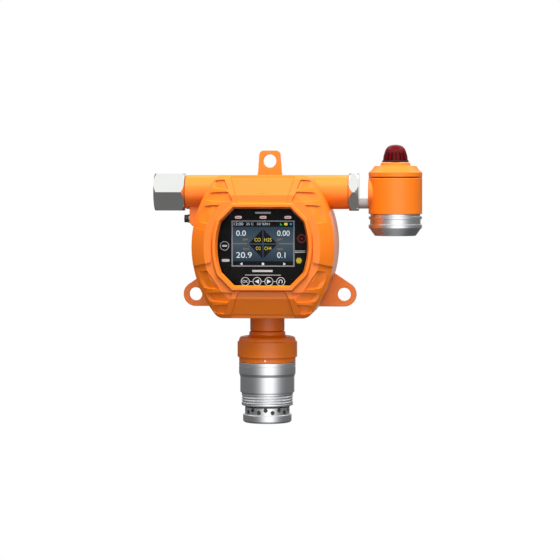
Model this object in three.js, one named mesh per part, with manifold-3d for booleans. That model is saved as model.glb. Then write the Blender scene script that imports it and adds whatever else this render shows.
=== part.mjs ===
// Fixed multi-gas detector for a wall: a cast housing with a screw-on window cover, a cable
// gland, a sound-and-light beacon on a side pipe, and a sensor head that hangs below.
// Millimetres, +Z up. The wall is the plane y = 0 and the front faces -Y. The origin is the
// centre of the housing's back face. A "depth" is a distance in front of the wall: y = -depth.
import * as THREE from "three";
import { ConvexGeometry } from "three/addons/geometries/ConvexGeometry.js";
import { mergeVertices } from "three/addons/utils/BufferGeometryUtils.js";
import Module from "manifold-3d";

// ---------------------------------------------------------------- driving dimensions
const GAP = 0.3; // clearance between neighbouring pieces
const ROUND = 24; // sides of a turned piece
const WIDE = 36; // sides of the housing's wide bores and rings
const SMALL = 16; // sides of small pins and holes
const AXIS_DEPTH = 38; // depth of the entry, sensor and beacon axes
const ENTRY_Z = 53.2; // height of the two cable entries
const HALF = 70; // housing centre to its flats, and to the middle of its bowed sides
const SIDE_RADIUS = 107; // bow of the sides
const CORNER_RADIUS = 11;
const HOUSING_DEPTH = 60; // back face to the parting plane
const FLOOR = 6; // thickness of the housing's back wall
const CAVITY_RADIUS = 58;
const COLLAR_RADIUS = 61.6; // threaded collar that the cover screws over
const COLLAR_DEPTH = 72;
const COVER_EDGE = 96; // depth of the cover's outer edge
const COVER_BREAK = 102.6; // depth where the face turns flat round the rim
const RIM_DEPTH = 106; // depth of the rim round the window
const POCKET = 1.6; // recess of the face pockets, and height of the raised side panels
const WINDOW_HALF_WIDTH = 43.4;
const WINDOW_HALF_HEIGHT = 37;
const WINDOW_SIDE_RADIUS = 74;
const GLASS_FRONT = 98.9;
const GLASS_BACK = 92;
const GLASS_RADIUS = 52;
const PANEL_FRONT = 91.2; // depth of the display panel's face
const PANEL_RADIUS = 46.6;
const SCREEN = { halfWidth: 31.2, halfHeight: 22.9, z: 3.2 };
const TUBE_RADIUS = 17; // entry bosses
const TUBE_END = 81.6;
const ENTRY_BORE = 13.2; // thread of a 3/4 inch entry
const WIRE_BORE = 11;
const BORE_STEP = 58; // distance from the centre where the entry bore narrows
const NECK_RADIUS = 17.2;
const NECK_BOTTOM = -85.3;
const EAR_THICKNESS = 8;
const EAR_HOLE = 6.7;
const EAR_X = 75.5; // lower ear holes
const EAR_Z = -50.4;
const TOP_EAR_Z = 84.4;
const EARTH_FACE = 77.3; // face of the earth boss, on the left side
const EARTH_Z = 26.6;
const POST = { at: 31, radius: 3 }; // board posts
const BEACON_X = 127.8;
const BEACON_RADIUS = 26.7;
const BEACON_BORE = 23.2;
const PORT_Z = 52.3;
const PIPE_Z = 41.8;
const PIPE_RADIUS = 5.05;
const SHELL_BORE = 21; // inside of the sensor shell

const LOOKS = {
  orange_powder: [0xff8014, 0.42, 0.0],
  polished_steel: [0xc9cbc7, 0.18, 1.0],
  turned_aluminium: [0xc4c6ca, 0.3, 1.0],
  galvanised_pipe: [0xb4b4b4, 0.5, 0.8],
  dark_screw: [0x4a4a48, 0.35, 0.9],
  black_rubber: [0x161616, 0.85, 0.0],
  black_panel: [0x050506, 0.25, 0.0],
  clear_glass: [0xe8f2f2, 0.05, 0.0],
  red_lens: [0x820a14, 0.1, 0.0],
  red_indicator: [0xe04048, 0.3, 0.0],
  lcd_screen: [0x34495c, 0.2, 0.0],
  grey_trim: [0x8c8f94, 0.4, 0.5],
  circuit_board: [0x1d5a34, 0.5, 0.0],
  terminal_green: [0x2c8c4a, 0.55, 0.0],
  relay_case: [0x2b3442, 0.5, 0.0],
  white_plastic: [0xdfddd5, 0.5, 0.0],
  sintered_metal: [0x77726a, 0.8, 0.7],
  cell_case: [0x3a3f47, 0.5, 0.1],
};

// ---------------------------------------------------------------- solids and outlines
const wasm = await Module();
wasm.setup();

function toSolid(geometry) {
  const bare = new THREE.BufferGeometry();
  const source = geometry.index ? geometry.toNonIndexed() : geometry;
  bare.setAttribute("position", source.getAttribute("position").clone());
  const merged = mergeVertices(bare, 1e-4);
  const vertProperties = merged.attributes.position.array;
  const triVerts = new Uint32Array(merged.index.array);
  return new wasm.Manifold(new wasm.Mesh({ numProp: 3, vertProperties, triVerts }));
}

function toGeometry(solid) {
  const mesh = solid.getMesh();
  const geometry = new THREE.BufferGeometry();
  geometry.setAttribute("position", new THREE.BufferAttribute(mesh.vertProperties, 3));
  geometry.setIndex(new THREE.BufferAttribute(mesh.triVerts, 1));
  geometry.computeVertexNormals();
  return geometry;
}

function join(...geometries) {
  return toGeometry(geometries.map(toSolid).reduce((a, b) => a.add(b)));
}

function cut(geometry, ...tools) {
  return toGeometry([geometry, ...tools].map(toSolid).reduce((a, b) => a.subtract(b)));
}

function overlap(a, b) {
  return toGeometry(toSolid(a).intersect(toSolid(b)));
}

const points2 = (pairs) => pairs.map(([x, z]) => new THREE.Vector2(x, z));

// Turned shapes: pairs of radius and place along the axis, up the outside.
function turned(axis, pairs, segments = ROUND) {
  const geometry = new THREE.LatheGeometry(points2(pairs), segments);
  if (axis === "x") geometry.rotateZ(-Math.PI / 2);
  if (axis === "z") geometry.rotateX(Math.PI / 2);
  if (axis === "depth") geometry.rotateX(Math.PI);
  return geometry;
}

function disc(axis, radius, from, to, segments) {
  return turned(axis, [[0, from], [radius, from], [radius, to], [0, to]], segments);
}

function ring(axis, inner, outer, from, to, segments) {
  const pairs = [[outer, from], [outer, to], [inner, to], [inner, from], [outer, from]];
  return turned(axis, pairs, segments);
}

function box(x0, x1, y0, y1, z0, z1) {
  const geometry = new THREE.BoxGeometry(x1 - x0, y1 - y0, z1 - z0);
  return geometry.translate((x0 + x1) / 2, (y0 + y1) / 2, (z0 + z1) / 2);
}

// An outline in the XZ plane, pulled forward from one depth to another.
function slab(outline, near, far) {
  const options = { depth: far - near, bevelEnabled: false };
  const geometry = new THREE.ExtrudeGeometry(new THREE.Shape(outline), options);
  return geometry.rotateX(Math.PI / 2).translate(0, -near, 0);
}

// The convex solid over outlines that lie at given depths.
function hull(...levels) {
  const corners = levels.flatMap(([outline, depth]) =>
    outline.map((p) => new THREE.Vector3(p.x, -depth, p.y)),
  );
  return new ConvexGeometry(corners);
}

function arc(x, z, radius, from, to, steps) {
  const point = (i) => {
    const angle = THREE.MathUtils.degToRad(from + ((to - from) * i) / steps);
    return new THREE.Vector2(x + radius * Math.cos(angle), z + radius * Math.sin(angle));
  };
  return Array.from({ length: steps + 1 }, (_, i) => point(i));
}

const mirrored = (outline, sx, sz) =>
  outline.map((p) => new THREE.Vector2(p.x * sx, p.y * sz));

// A whole outline from its upper right quarter, which runs from the top to z = 0.
function fourFold(quarter) {
  const back = quarter.slice(0, -1).reverse();
  return [
    ...quarter,
    ...mirrored(back, 1, -1),
    ...mirrored(quarter, -1, -1),
    ...mirrored(back, -1, 1),
  ];
}

// The outline shared by housing and cover: flats, bowed sides and rounded corners.
function bodyOutline(inset) {
  const corner = CORNER_RADIUS - inset;
  const centre = HALF - SIDE_RADIUS;
  const cz = HALF - CORNER_RADIUS;
  const cx = centre + Math.sqrt((SIDE_RADIUS - CORNER_RADIUS) ** 2 - cz ** 2);
  const turn = THREE.MathUtils.radToDeg(Math.atan2(cz, cx - centre));
  const bow = arc(centre, 0, SIDE_RADIUS - inset, turn, 0, 6);
  return fourFold([...arc(cx, cz, corner, 90, turn, 3), ...bow.slice(1)]);
}

// The window's outline, grown by a margin: flat top, cut corners and bowed sides.
function windowOutline(grow) {
  const centre = WINDOW_HALF_WIDTH - WINDOW_SIDE_RADIUS;
  const radius = WINDOW_SIDE_RADIUS + grow;
  const cornerZ = 24.5 + 0.54 * grow;
  const turn = THREE.MathUtils.radToDeg(Math.asin(cornerZ / radius));
  const top = new THREE.Vector2(27 + 0.42 * grow, WINDOW_HALF_HEIGHT + grow);
  return fourFold([top, ...arc(centre, 0, radius, turn, 0, 5)]);
}

// ---------------------------------------------------------------- the model's tree
const detector = new THREE.Group();

function groupAt(parent, x, y, z) {
  const group = new THREE.Group();
  group.position.set(x, y, z);
  parent.add(group);
  return group;
}

function piece(parent, name, look, geometry) {
  const [color, roughness, metalness] = LOOKS[look];
  const material = new THREE.MeshStandardMaterial({ color, roughness, metalness });
  const mesh = new THREE.Mesh(geometry, material);
  mesh.name = name;
  parent.add(mesh);
  return mesh;
}

// ---------------------------------------------------------------- rear housing
function topEar() {
  const corner = 4.5;
  const top = 95;
  const right = [
    new THREE.Vector2(12.5, 62),
    new THREE.Vector2(12.5, 71.5),
    new THREE.Vector2(12, 72),
    ...arc(10.6 - corner, top - corner, corner, 4, 90, 4),
  ];
  const outline = [...right, ...mirrored([...right].reverse(), -1, 1)];
  return slab(outline, 0, EAR_THICKNESS);
}

function lowerEar(side) {
  const radius = 12.3;
  const outline = [
    new THREE.Vector2(44, EAR_Z - radius),
    ...arc(EAR_X, EAR_Z, radius, -90, 56, 10),
    new THREE.Vector2(57, -23),
    new THREE.Vector2(44, -23),
  ];
  return slab(mirrored(outline, side, 1), 0, EAR_THICKNESS);
}

function earHole(x, z) {
  return disc("depth", EAR_HOLE, -1, EAR_THICKNESS + 1, SMALL).translate(x, 0, z);
}

function entryTube() {
  const end = TUBE_END;
  const lip = TUBE_RADIUS - 1;
  const pairs = [[0, -end], [lip, -end], [TUBE_RADIUS, 1 - end], [TUBE_RADIUS, end - 1]];
  const tube = turned("x", [...pairs, [lip, end], [0, end]]);
  return tube.translate(0, -AXIS_DEPTH, ENTRY_Z);
}

function entryBore(side) {
  const pairs = [[0, 30], [WIRE_BORE, 30], [WIRE_BORE, BORE_STEP], [ENTRY_BORE, BORE_STEP]];
  const bore = turned("x", [...pairs, [ENTRY_BORE, TUBE_END + 1], [0, TUBE_END + 1]]);
  if (side < 0) bore.rotateZ(Math.PI);
  return bore.translate(0, -AXIS_DEPTH, ENTRY_Z);
}

function earthBoss() {
  const face = -EARTH_FACE;
  const outline = points2([[-60, 46], [face, 46], [face, 22.8], [face + 2.7, 19.3], [-60, 16]]);
  return slab(outline, AXIS_DEPTH - 8, AXIS_DEPTH + 8);
}

function rearHousing() {
  const collar = disc("depth", COLLAR_RADIUS, HOUSING_DEPTH - 2, COLLAR_DEPTH, WIDE);
  const neck = disc("z", NECK_RADIUS, NECK_BOTTOM, -60).translate(0, -AXIS_DEPTH, 0);
  const cavity = disc("depth", CAVITY_RADIUS, FLOOR, COLLAR_DEPTH + 1, WIDE);
  const neckBore = disc("z", 12.6, NECK_BOTTOM - 1, -40).translate(0, -AXIS_DEPTH, 0);
  const earthHole = disc("x", 2.4, -EARTH_FACE - 1, -63, 16);
  const body = join(
    slab(bodyOutline(0), 0, HOUSING_DEPTH),
    collar,
    entryTube(),
    neck,
    earthBoss(),
    topEar(),
    lowerEar(1),
    lowerEar(-1),
  );
  return cut(
    body,
    cavity,
    entryBore(1),
    entryBore(-1),
    neckBore,
    earthHole.translate(0, -AXIS_DEPTH, EARTH_Z),
    earHole(0, TOP_EAR_Z),
    earHole(EAR_X, EAR_Z),
    earHole(-EAR_X, EAR_Z),
  );
}

piece(detector, "rear_housing", "orange_powder", rearHousing());

// ---------------------------------------------------------------- front cover
function coverBlank() {
  return hull(
    [bodyOutline(0), HOUSING_DEPTH + GAP],
    [bodyOutline(0), COVER_EDGE - 4],
    [bodyOutline(4), COVER_EDGE],
    [windowOutline(13.5), COVER_BREAK],
    [windowOutline(7), COVER_BREAK + 0.4],
  );
}

// Outlines of the sunk pockets of the upper left quarter, run past the cover's edge.
const POCKETS = [
  [[-80, 65.1], [-37.7, 65.1], [-34.8, 57.2], [-80, 57.2]],
  [[-80, 53.4], [-33.8, 53.4], [-29.9, 45.4], [-80, 45.4]],
  [[-80, 40.3], [-43.1, 40.3], [-54.3, 23.7], [-80, 23.7]],
];
const TOP_PANEL = [[-33.8, 75], [33.8, 75], [23.1, 45.6], [21.4, 43.9], [-21.4, 43.9], [-23.1, 45.6]];
const SIDE_PANEL = [[-80, 21.9], [-50.9, 14.9], [-49.9, 13.9]];

function coverPockets(blank) {
  const outlines = POCKETS.flatMap((pairs) => {
    const pocket = points2(pairs);
    return [pocket, mirrored(pocket, -1, 1), mirrored(pocket, 1, -1), mirrored(pocket, -1, -1)];
  });
  const centre = points2(TOP_PANEL);
  const prisms = [...outlines, centre, mirrored(centre, 1, -1)].map((o) => slab(o, 85, 110));
  return cut(join(...prisms), blank.clone().translate(0, POCKET, 0));
}

function sidePanel(blank, side) {
  const half = points2(SIDE_PANEL);
  const outline = [...half, ...mirrored([...half].reverse(), 1, -1)];
  const proud = blank.clone().translate(0, -POCKET, 0);
  return overlap(slab(mirrored(outline, -side, 1), COVER_EDGE - 5, 110), proud);
}

function frontCover() {
  const blank = coverBlank();
  const rim = hull(
    [windowOutline(7.2), COVER_BREAK - 2],
    [windowOutline(5.6), RIM_DEPTH - 0.9],
    [windowOutline(4.6), RIM_DEPTH],
  );
  const opening = hull([windowOutline(0), GLASS_FRONT], [windowOutline(2.4), RIM_DEPTH + 0.2]);
  const inside = turned(
    "depth",
    [
      [0, 59],
      [62, 59],
      [62, COLLAR_DEPTH + 0.8],
      [60, COLLAR_DEPTH + 0.8],
      [60, 88],
      [54.3, 88],
      [54.3, GLASS_BACK - 0.1],
      [GLASS_RADIUS + GAP, GLASS_BACK - 0.1],
      [GLASS_RADIUS + GAP, 100.1],
      [0, 100.1],
    ],
    WIDE,
  );
  const sealGroove = ring("depth", 64.2, 67, 59, 62.2, WIDE);
  const lockHole = disc("z", 2.3, -72, -60, 16).translate(20, -66, 0);
  const shell = cut(blank, coverPockets(blank));
  return cut(
    join(shell, sidePanel(blank, 1), sidePanel(blank, -1), rim),
    inside,
    opening,
    sealGroove,
    lockHole,
  );
}

function setScrew(radius, from, to) {
  const socket = disc("z", radius * 0.5, from - 1, from + 1.6, 6);
  return cut(disc("z", radius, from, to, 16), socket);
}

piece(detector, "front_cover", "orange_powder", frontCover());
piece(detector, "cover_o_ring", "black_rubber", ring("depth", 64.5, 66.7, 60.3, 61.9, WIDE));
piece(detector, "window_gasket", "black_rubber", ring("depth", 47.4, 51.8, 99.2, 99.8, WIDE));
piece(
  detector,
  "window_glass",
  "clear_glass",
  disc("depth", GLASS_RADIUS, GLASS_BACK, GLASS_FRONT, WIDE),
);
piece(detector, "window_ring", "black_panel", ring("depth", 47, 54, 88.3, GLASS_BACK - GAP, WIDE));
const lockScrew = piece(detector, "cover_lock_screw", "dark_screw", setScrew(2, -69.4, -62.8));
lockScrew.position.set(20, -66, 0);

// ---------------------------------------------------------------- display stack
function roundedBar(halfLength, radius, near, far) {
  const end = arc(halfLength - radius, 0, radius, 90, -90, 8);
  return slab([...end, ...mirrored([...end].reverse(), -1, 1)], near, far);
}

const INDICATORS = { indicator_power: -24.3, indicator_fault: 0, indicator_alarm: 24.3 };
const INDICATOR_Z = 28.8;

function facePanel() {
  const { halfWidth, halfHeight, z } = SCREEN;
  const window = box(-halfWidth, halfWidth, -95, -85, z - halfHeight, z + halfHeight);
  const slots = Object.values(INDICATORS).map((x) =>
    roundedBar(3.5, 1.5, 85, 95).translate(x, 0, INDICATOR_Z),
  );
  return cut(disc("depth", PANEL_RADIUS, 88.9, PANEL_FRONT, WIDE), window, ...slots);
}

function screenFrame() {
  const w = SCREEN.halfWidth - GAP;
  const h = SCREEN.halfHeight - GAP;
  const rim = 1.2;
  const outer = box(-w, w, -PANEL_FRONT, -88.9, -h, h);
  return cut(outer, box(rim - w, w - rim, -95, -85, rim - h, h - rim));
}

function screenModule() {
  const w = SCREEN.halfWidth - 1.8;
  const h = SCREEN.halfHeight - 1.8;
  const back = box(-35, 35, -88.6, -80, -h - 2.6, h + 2.6);
  return join(back, box(-w, w, -90.9, -88, -h, h));
}

const postPlaces = [1, -1].flatMap((sx) => [1, -1].map((sz) => [sx * POST.at, sz * POST.at]));

function boardWithHoles(radius, near, far) {
  const holes = postPlaces.map(([x, z]) =>
    disc("depth", POST.radius + 0.4, near - 1, far + 1, 12).translate(x, 0, z),
  );
  return cut(disc("depth", radius, near, far, ROUND), ...holes);
}

const display = groupAt(detector, 0, 0, 0);
piece(display, "face_panel", "black_panel", facePanel());
piece(display, "lcd_frame", "grey_trim", screenFrame()).position.z = SCREEN.z;
piece(display, "lcd_module", "lcd_screen", screenModule()).position.z = SCREEN.z;
piece(display, "display_board", "circuit_board", disc("depth", 49.5, 78, 79.6, ROUND));
for (const [name, x] of Object.entries(INDICATORS)) {
  const light = piece(display, name, "red_indicator", roundedBar(3.2, 1.2, 79.9, 91.3));
  light.position.set(x, 0, INDICATOR_Z);
}
postPlaces.forEach(([x, z], i) => {
  const post = disc("depth", POST.radius, FLOOR + GAP, 77.7, 12);
  piece(display, `board_post_${i + 1}`, "turned_aluminium", post).position.set(x, 0, z);
});

// ---------------------------------------------------------------- terminal chamber
const BOARD_FACE = 21.6;

function terminalBlock(ways) {
  const pitch = 5.08;
  const half = (ways * pitch) / 2;
  const front = BOARD_FACE + GAP + 13;
  const block = box(-half, half, -front, -BOARD_FACE - GAP, -6, 6);
  const holes = Array.from({ length: ways }, (_, i) =>
    disc("depth", 1.6, front - 3, front + 1, 8).translate((i + 0.5) * pitch - half, 0, 0),
  );
  return cut(block, ...holes);
}

const chamber = groupAt(detector, 0, 0, 0);
piece(chamber, "terminal_board", "circuit_board", boardWithHoles(50, 20, BOARD_FACE));
piece(chamber, "power_terminal", "terminal_green", terminalBlock(8)).position.z = 26;
piece(chamber, "relay_terminal", "terminal_green", terminalBlock(8)).position.z = -26;
for (const [i, x] of [-20, 0, 20].entries()) {
  const relay = box(-7.5, 7.5, -37, -BOARD_FACE - GAP, -9.5, 9.5);
  piece(chamber, `relay_${i + 1}`, "relay_case", relay).position.x = x;
}
const converter = box(-15, 15, -77.7, -68, -12, 12);
piece(chamber, "power_module", "relay_case", converter);
piece(chamber, "board_ribbon", "white_plastic", box(38, 38.9, -77.7, -BOARD_FACE - GAP, -9, 9));

// ---------------------------------------------------------------- earth terminal
const earth = groupAt(detector, -EARTH_FACE, -AXIS_DEPTH, EARTH_Z);

function hexBar(flats, from, to) {
  const radius = flats / Math.sqrt(3);
  const bar = new THREE.CylinderGeometry(radius, radius, to - from, 6);
  return bar.rotateZ(-Math.PI / 2).rotateX(Math.PI / 6).translate((from + to) / 2, 0, 0);
}

function earthScrew() {
  const head = hexBar(7.6, -5.8, -2.5);
  return join(head, disc("x", 2, -3, 11, 12));
}

piece(earth, "earth_washer", "polished_steel", ring("x", 2.3, 4.6, -1.1, -GAP, 24));
piece(earth, "earth_spring_washer", "dark_screw", ring("x", 2.3, 4.2, -2.2, -1.4, 24));
piece(earth, "earth_screw", "dark_screw", earthScrew());

// ---------------------------------------------------------------- cable gland
const HEX_START = TUBE_END + GAP;
const GLAND_END = 112.4;
const GLAND_BORE = 9.6;
const RING_RADIUS = 12.8; // outside of the gland's washer and bush
const gland = groupAt(detector, 0, -AXIS_DEPTH, ENTRY_Z);

// A hexagonal bar along X with its corners turned away at both ends.
function chamferedHex(flats, from, to, chamferFrom, chamferTo) {
  const low = flats / 2 + 0.1;
  const high = flats / Math.sqrt(3) + 0.2;
  const drum = [[0, from], [low, from], [high, from + chamferFrom], [high, to - chamferTo]];
  return overlap(hexBar(flats, from, to), turned("x", [...drum, [low, to], [0, to]]));
}

function glandNut() {
  const hex = chamferedHex(36.9, -GLAND_END, -HEX_START, 2.8, 3.2);
  const spigot = disc("x", ENTRY_BORE - GAP, -HEX_START - 1, -70);
  const end = -GLAND_END;
  const mouth = [[0, end - 1], [GLAND_BORE + 2.5, end - 1], [GLAND_BORE, end + 2.5]];
  return cut(join(hex, spigot), turned("x", [...mouth, [GLAND_BORE, -69], [0, -69]]));
}

piece(gland, "gland_nut", "polished_steel", glandNut());

const glandWasher = ring("x", 8, RING_RADIUS, -69.7, -68.2, SMALL);
piece(gland, "gland_washer", "turned_aluminium", glandWasher);
const glandBush = ring("x", 6.8, RING_RADIUS, -67.9, -BORE_STEP - GAP, SMALL);
piece(gland, "gland_bush", "black_rubber", glandBush);

// ---------------------------------------------------------------- beacon adaptor and pipe
const ADAPTOR_END = 91.9;
const pipeDrop = PIPE_Z - ENTRY_Z;

function conduitAdaptor() {
  const hex = chamferedHex(37.1, HEX_START, ADAPTOR_END, 4.4, 4.4);
  const spigot = disc("x", ENTRY_BORE - GAP, 63, HEX_START + 1);
  const wireBore = disc("x", 9.5, 62, 88);
  const pipeBore = disc("x", PIPE_RADIUS + GAP, 83.4, 93, SMALL).translate(0, 0, pipeDrop);
  return cut(join(hex, spigot), wireBore, pipeBore);
}

piece(gland, "conduit_adaptor", "polished_steel", conduitAdaptor());

const beacon = groupAt(detector, BEACON_X, -AXIS_DEPTH, 0);
const pipe = ring("x", 3.2, PIPE_RADIUS, 86.5 - BEACON_X, -BEACON_BORE - 0.2, SMALL);
piece(beacon, "beacon_pipe", "galvanised_pipe", pipe).position.z = PIPE_Z;

// ---------------------------------------------------------------- beacon
const HOUSING_BOTTOM = 31.4;
const HOUSING_TOP = 67.3;

function beaconHousing() {
  const r = BEACON_RADIUS;
  const boss = disc("x", 15.7, -r, -r + 8).translate(0, 0, PORT_Z);
  const band = box(-r - 1, 0, -r, r, HOUSING_BOTTOM, HOUSING_TOP);
  const drum = disc("z", r, HOUSING_BOTTOM, HOUSING_TOP);
  const inside = turned("z", [
    [0, HOUSING_BOTTOM - 1],
    [BEACON_BORE, HOUSING_BOTTOM - 1],
    [BEACON_BORE, 57.5],
    [17, 57.5],
    [17, 60],
    [BEACON_BORE, 60],
    [BEACON_BORE, HOUSING_TOP + 1],
    [0, HOUSING_TOP + 1],
  ]);
  const pipeHole = disc("x", PIPE_RADIUS + GAP, -r - 1, -20, SMALL).translate(0, 0, PIPE_Z);
  return cut(join(drum, overlap(boss, band)), inside, pipeHole);
}

function beaconCap() {
  return turned("z", [
    [20.5, 62.5],
    [22.9, 62.5],
    [22.9, 68.3],
    [BEACON_RADIUS, 68.3],
    [BEACON_RADIUS, 73],
    [23.7, 75],
    [20.5, 79.3],
    [15.1, 79.3],
    [14.1, 82.6],
    [9, 82.6],
    [9, 77.5],
    [17, 76.5],
    [20.5, 72],
    [20.5, 62.5],
  ]);
}

function beaconLens() {
  const outside = [[11.6, 84.9], [10.9, 89], [9.4, 94], [7.6, 97.4], [4.6, 99.6], [0, 100.3]];
  const inside = [[0, 98.3], [4, 97.6], [6.4, 95.8], [7.8, 93], [9.2, 88], [9.6, 84.9]];
  return turned("z", [...inside, ...outside]);
}

function beaconBase() {
  const outside = [
    [0, 9.8],
    [20.6, 10],
    [25.5, 16.8],
    [26.6, 17.5],
    [26.6, 21],
    [25.2, 21.4],
    [25.2, 26.1],
    [26.6, 26.5],
    [26.6, 28.9],
    [24.8, 29.3],
    [24.8, 31.1],
    [22.9, 31.1],
    [22.9, 37],
    [20.5, 37],
    [20.5, 18],
    [17.5, 13],
    [0, 13],
  ];
  const holes = [[5, 6], [10, 12]].flatMap(([count, radius]) =>
    Array.from({ length: count }, (_, i) => {
      const angle = (i * 2 * Math.PI) / count;
      const hole = disc("z", 1.8, 9, 14, 6);
      return hole.translate(radius * Math.cos(angle), radius * Math.sin(angle), 0);
    }),
  );
  return cut(turned("z", outside), ...holes);
}

piece(beacon, "beacon_housing", "orange_powder", beaconHousing());
piece(beacon, "beacon_gasket", "black_rubber", ring("z", 23.3, 26, 67.6, 68));
piece(beacon, "beacon_cap", "orange_powder", beaconCap());
piece(beacon, "lens_gasket", "black_rubber", ring("z", 9.2, 12.6, 82.9, 84.6));
piece(beacon, "beacon_lens", "red_lens", beaconLens());
piece(beacon, "beacon_base", "turned_aluminium", beaconBase());
piece(beacon, "sounder", "black_panel", turned("z", [[0, 20], [18, 20], [18, 24], [9, 31], [0, 31]]));
piece(beacon, "led_board", "circuit_board", disc("z", 20, 60.3, 61.9));
piece(beacon, "led_column", "white_plastic", disc("z", 4, 62.2, 92, 16));

// ---------------------------------------------------------------- sensor head
const sensor = groupAt(detector, 0, -AXIS_DEPTH, 0);
const RING_BOTTOM = -116.4; // lower edge of the adaptor's orange ring
const THREAD_PITCH = 2.65;
const THREAD_TOP = -148.2;

function sensorAdaptor() {
  const body = turned("z", [
    [8, -70],
    [8, -98],
    [25.5, -99.5],
    [25.5, RING_BOTTOM],
    [28.3, RING_BOTTOM],
    [28.3, -111.7],
    [29.9, -111.4],
    [29.9, -96],
    [28.6, -95.3],
    [28, -93],
    [26.4, -91.3],
    [22.8, -91],
    [21.4, -91.8],
    [20.6, -91.4],
    [18, -89.2],
    [18, -86.9],
    [17.2, -85.6],
    [12.3, -85.6],
    [12.3, -70],
    [8, -70],
  ]);
  const screwHole = disc("depth", 1.6, 24, 30, 12).translate(0, 0, -114);
  return cut(body, screwHole);
}

function threadProfile() {
  return Array.from({ length: 4 }, (_, i) => {
    const top = THREAD_TOP - i * THREAD_PITCH;
    return [[25.9, top], [25.9, top - 1.3], [24.9, top - 1.9]];
  }).flat();
}

function sensorShell() {
  const outside = [
    [25.2, -101],
    [25.2, RING_BOTTOM - GAP],
    [28.4, RING_BOTTOM - GAP],
    [28.4, -128.1],
    [27.2, -130.7],
    [27.2, -146],
    ...threadProfile(),
    [22.9, -160.4],
    [20, -160.4],
    [20, -150],
    [SHELL_BORE, -149],
    [SHELL_BORE, -101],
    [25.2, -101],
  ];
  return turned("z", outside.reverse());
}

function filterCap() {
  const cup = turned("z", [
    [0, -177.8],
    [14.5, -177.8],
    [15.5, -177],
    [23, -177],
    [24.4, -175.4],
    [24.4, -168.9],
    [22.4, -168.9],
    [22.4, -161.6],
    [19.7, -161.6],
    [19.7, -152.5],
    [18, -152.5],
    [18, -172.5],
    [0, -172.5],
  ]);
  const rows = [[-163.8, 0], [-166.2, 18]];
  const holes = rows.flatMap(([z, first]) =>
    Array.from({ length: 10 }, (_, i) => {
      const hole = disc("depth", 1.9, 15, 24, 6);
      hole.rotateZ(THREE.MathUtils.degToRad(first + i * 36));
      return hole.translate(0, 0, z);
    }),
  );
  return cut(cup, ...holes);
}

piece(sensor, "sensor_adaptor", "orange_powder", sensorAdaptor());
const setScrewMesh = piece(sensor, "adaptor_set_screw", "white_plastic", setScrew(1.3, 0, 2.6));
setScrewMesh.rotation.x = -Math.PI / 2;
setScrewMesh.position.set(0, -28.3, -114);
piece(sensor, "sensor_o_ring", "black_rubber", ring("z", 22.2, 24.4, -100.7, -99.9, ROUND));
piece(sensor, "sensor_shell", "turned_aluminium", sensorShell());
piece(sensor, "sensor_board", "circuit_board", disc("z", 20.5, -130.6, -129));
piece(sensor, "sensor_plug", "white_plastic", box(-7, 7, -4, 4, -128.7, -119));
piece(sensor, "flame_arrestor", "sintered_metal", disc("z", 19.6, -152.2, -150.2));
piece(sensor, "filter_gasket", "black_rubber", ring("z", 20.2, 22.2, -161.3, -160.7));
piece(sensor, "filter_cap", "turned_aluminium", filterCap());
piece(sensor, "filter_sleeve", "sintered_metal", ring("z", 15.8, 17.6, -172.2, -156));
for (let i = 0; i < 4; i += 1) {
  const angle = Math.PI / 4 + (i * Math.PI) / 2;
  const cell = disc("z", 8, -148.6, -130.9, 24);
  const place = piece(sensor, `gas_cell_${i + 1}`, "cell_case", cell).position;
  place.set(11.8 * Math.cos(angle), 11.8 * Math.sin(angle), 0);
}

// ---------------------------------------------------------------- sensor harness
function harness() {
  const route = new THREE.CatmullRomCurve3(
    [
      [0, -38, -105],
      [0, -38, -80],
      [0, -37, -60],
      [0, -33, -50],
      [0, -31, -44],
      [0, -30.5, -38],
      [0, -30, -33],
    ].map((p) => new THREE.Vector3(...p)),
  );
  const section = new THREE.Shape(arc(0, 0, 2.5, 0, 315, 7));
  return new THREE.ExtrudeGeometry(section, { steps: 14, extrudePath: route });
}

piece(detector, "sensor_harness", "black_rubber", harness());
piece(sensor, "harness_socket", "white_plastic", box(-8, 8, -5, 5, -118.7, -105.4));

export default detector;
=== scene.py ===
# A fixed gas detector for a wall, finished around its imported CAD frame. Metres, +Z up, front -Y.
import math

import bmesh
import bpy
from mathutils import Matrix, Vector
from mathutils.bvhtree import BVHTree


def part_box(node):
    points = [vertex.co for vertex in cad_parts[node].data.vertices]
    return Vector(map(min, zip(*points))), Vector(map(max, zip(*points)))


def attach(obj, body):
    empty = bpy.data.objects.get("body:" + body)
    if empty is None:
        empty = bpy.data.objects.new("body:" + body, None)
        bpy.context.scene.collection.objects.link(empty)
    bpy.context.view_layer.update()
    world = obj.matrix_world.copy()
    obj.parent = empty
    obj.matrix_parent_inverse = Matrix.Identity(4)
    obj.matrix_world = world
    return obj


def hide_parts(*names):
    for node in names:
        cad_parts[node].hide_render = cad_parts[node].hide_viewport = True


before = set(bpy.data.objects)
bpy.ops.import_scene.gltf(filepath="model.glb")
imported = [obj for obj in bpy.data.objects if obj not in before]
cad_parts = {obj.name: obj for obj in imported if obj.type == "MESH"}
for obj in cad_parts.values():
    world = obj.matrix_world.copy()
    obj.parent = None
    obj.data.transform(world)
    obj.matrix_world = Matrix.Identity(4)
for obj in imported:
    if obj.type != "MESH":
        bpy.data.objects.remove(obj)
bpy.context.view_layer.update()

# ------------------------------------------------------------------ camera, lights and floor
# The view is from 2.4 m away, a little to the right and a little above, through a long lens.
# One soft lamp above and a pale room, brightest overhead and in front, light it over a plain floor.
mm = 0.001
VIEW_DISTANCE = 2400 * mm
VIEW_AZIMUTH = math.radians(4.33)
VIEW_ELEVATION = math.radians(2.5)
VIEW_CENTRE = Vector((12.69, -38, -34.7)) * mm
FIELD = 560 * mm


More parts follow.
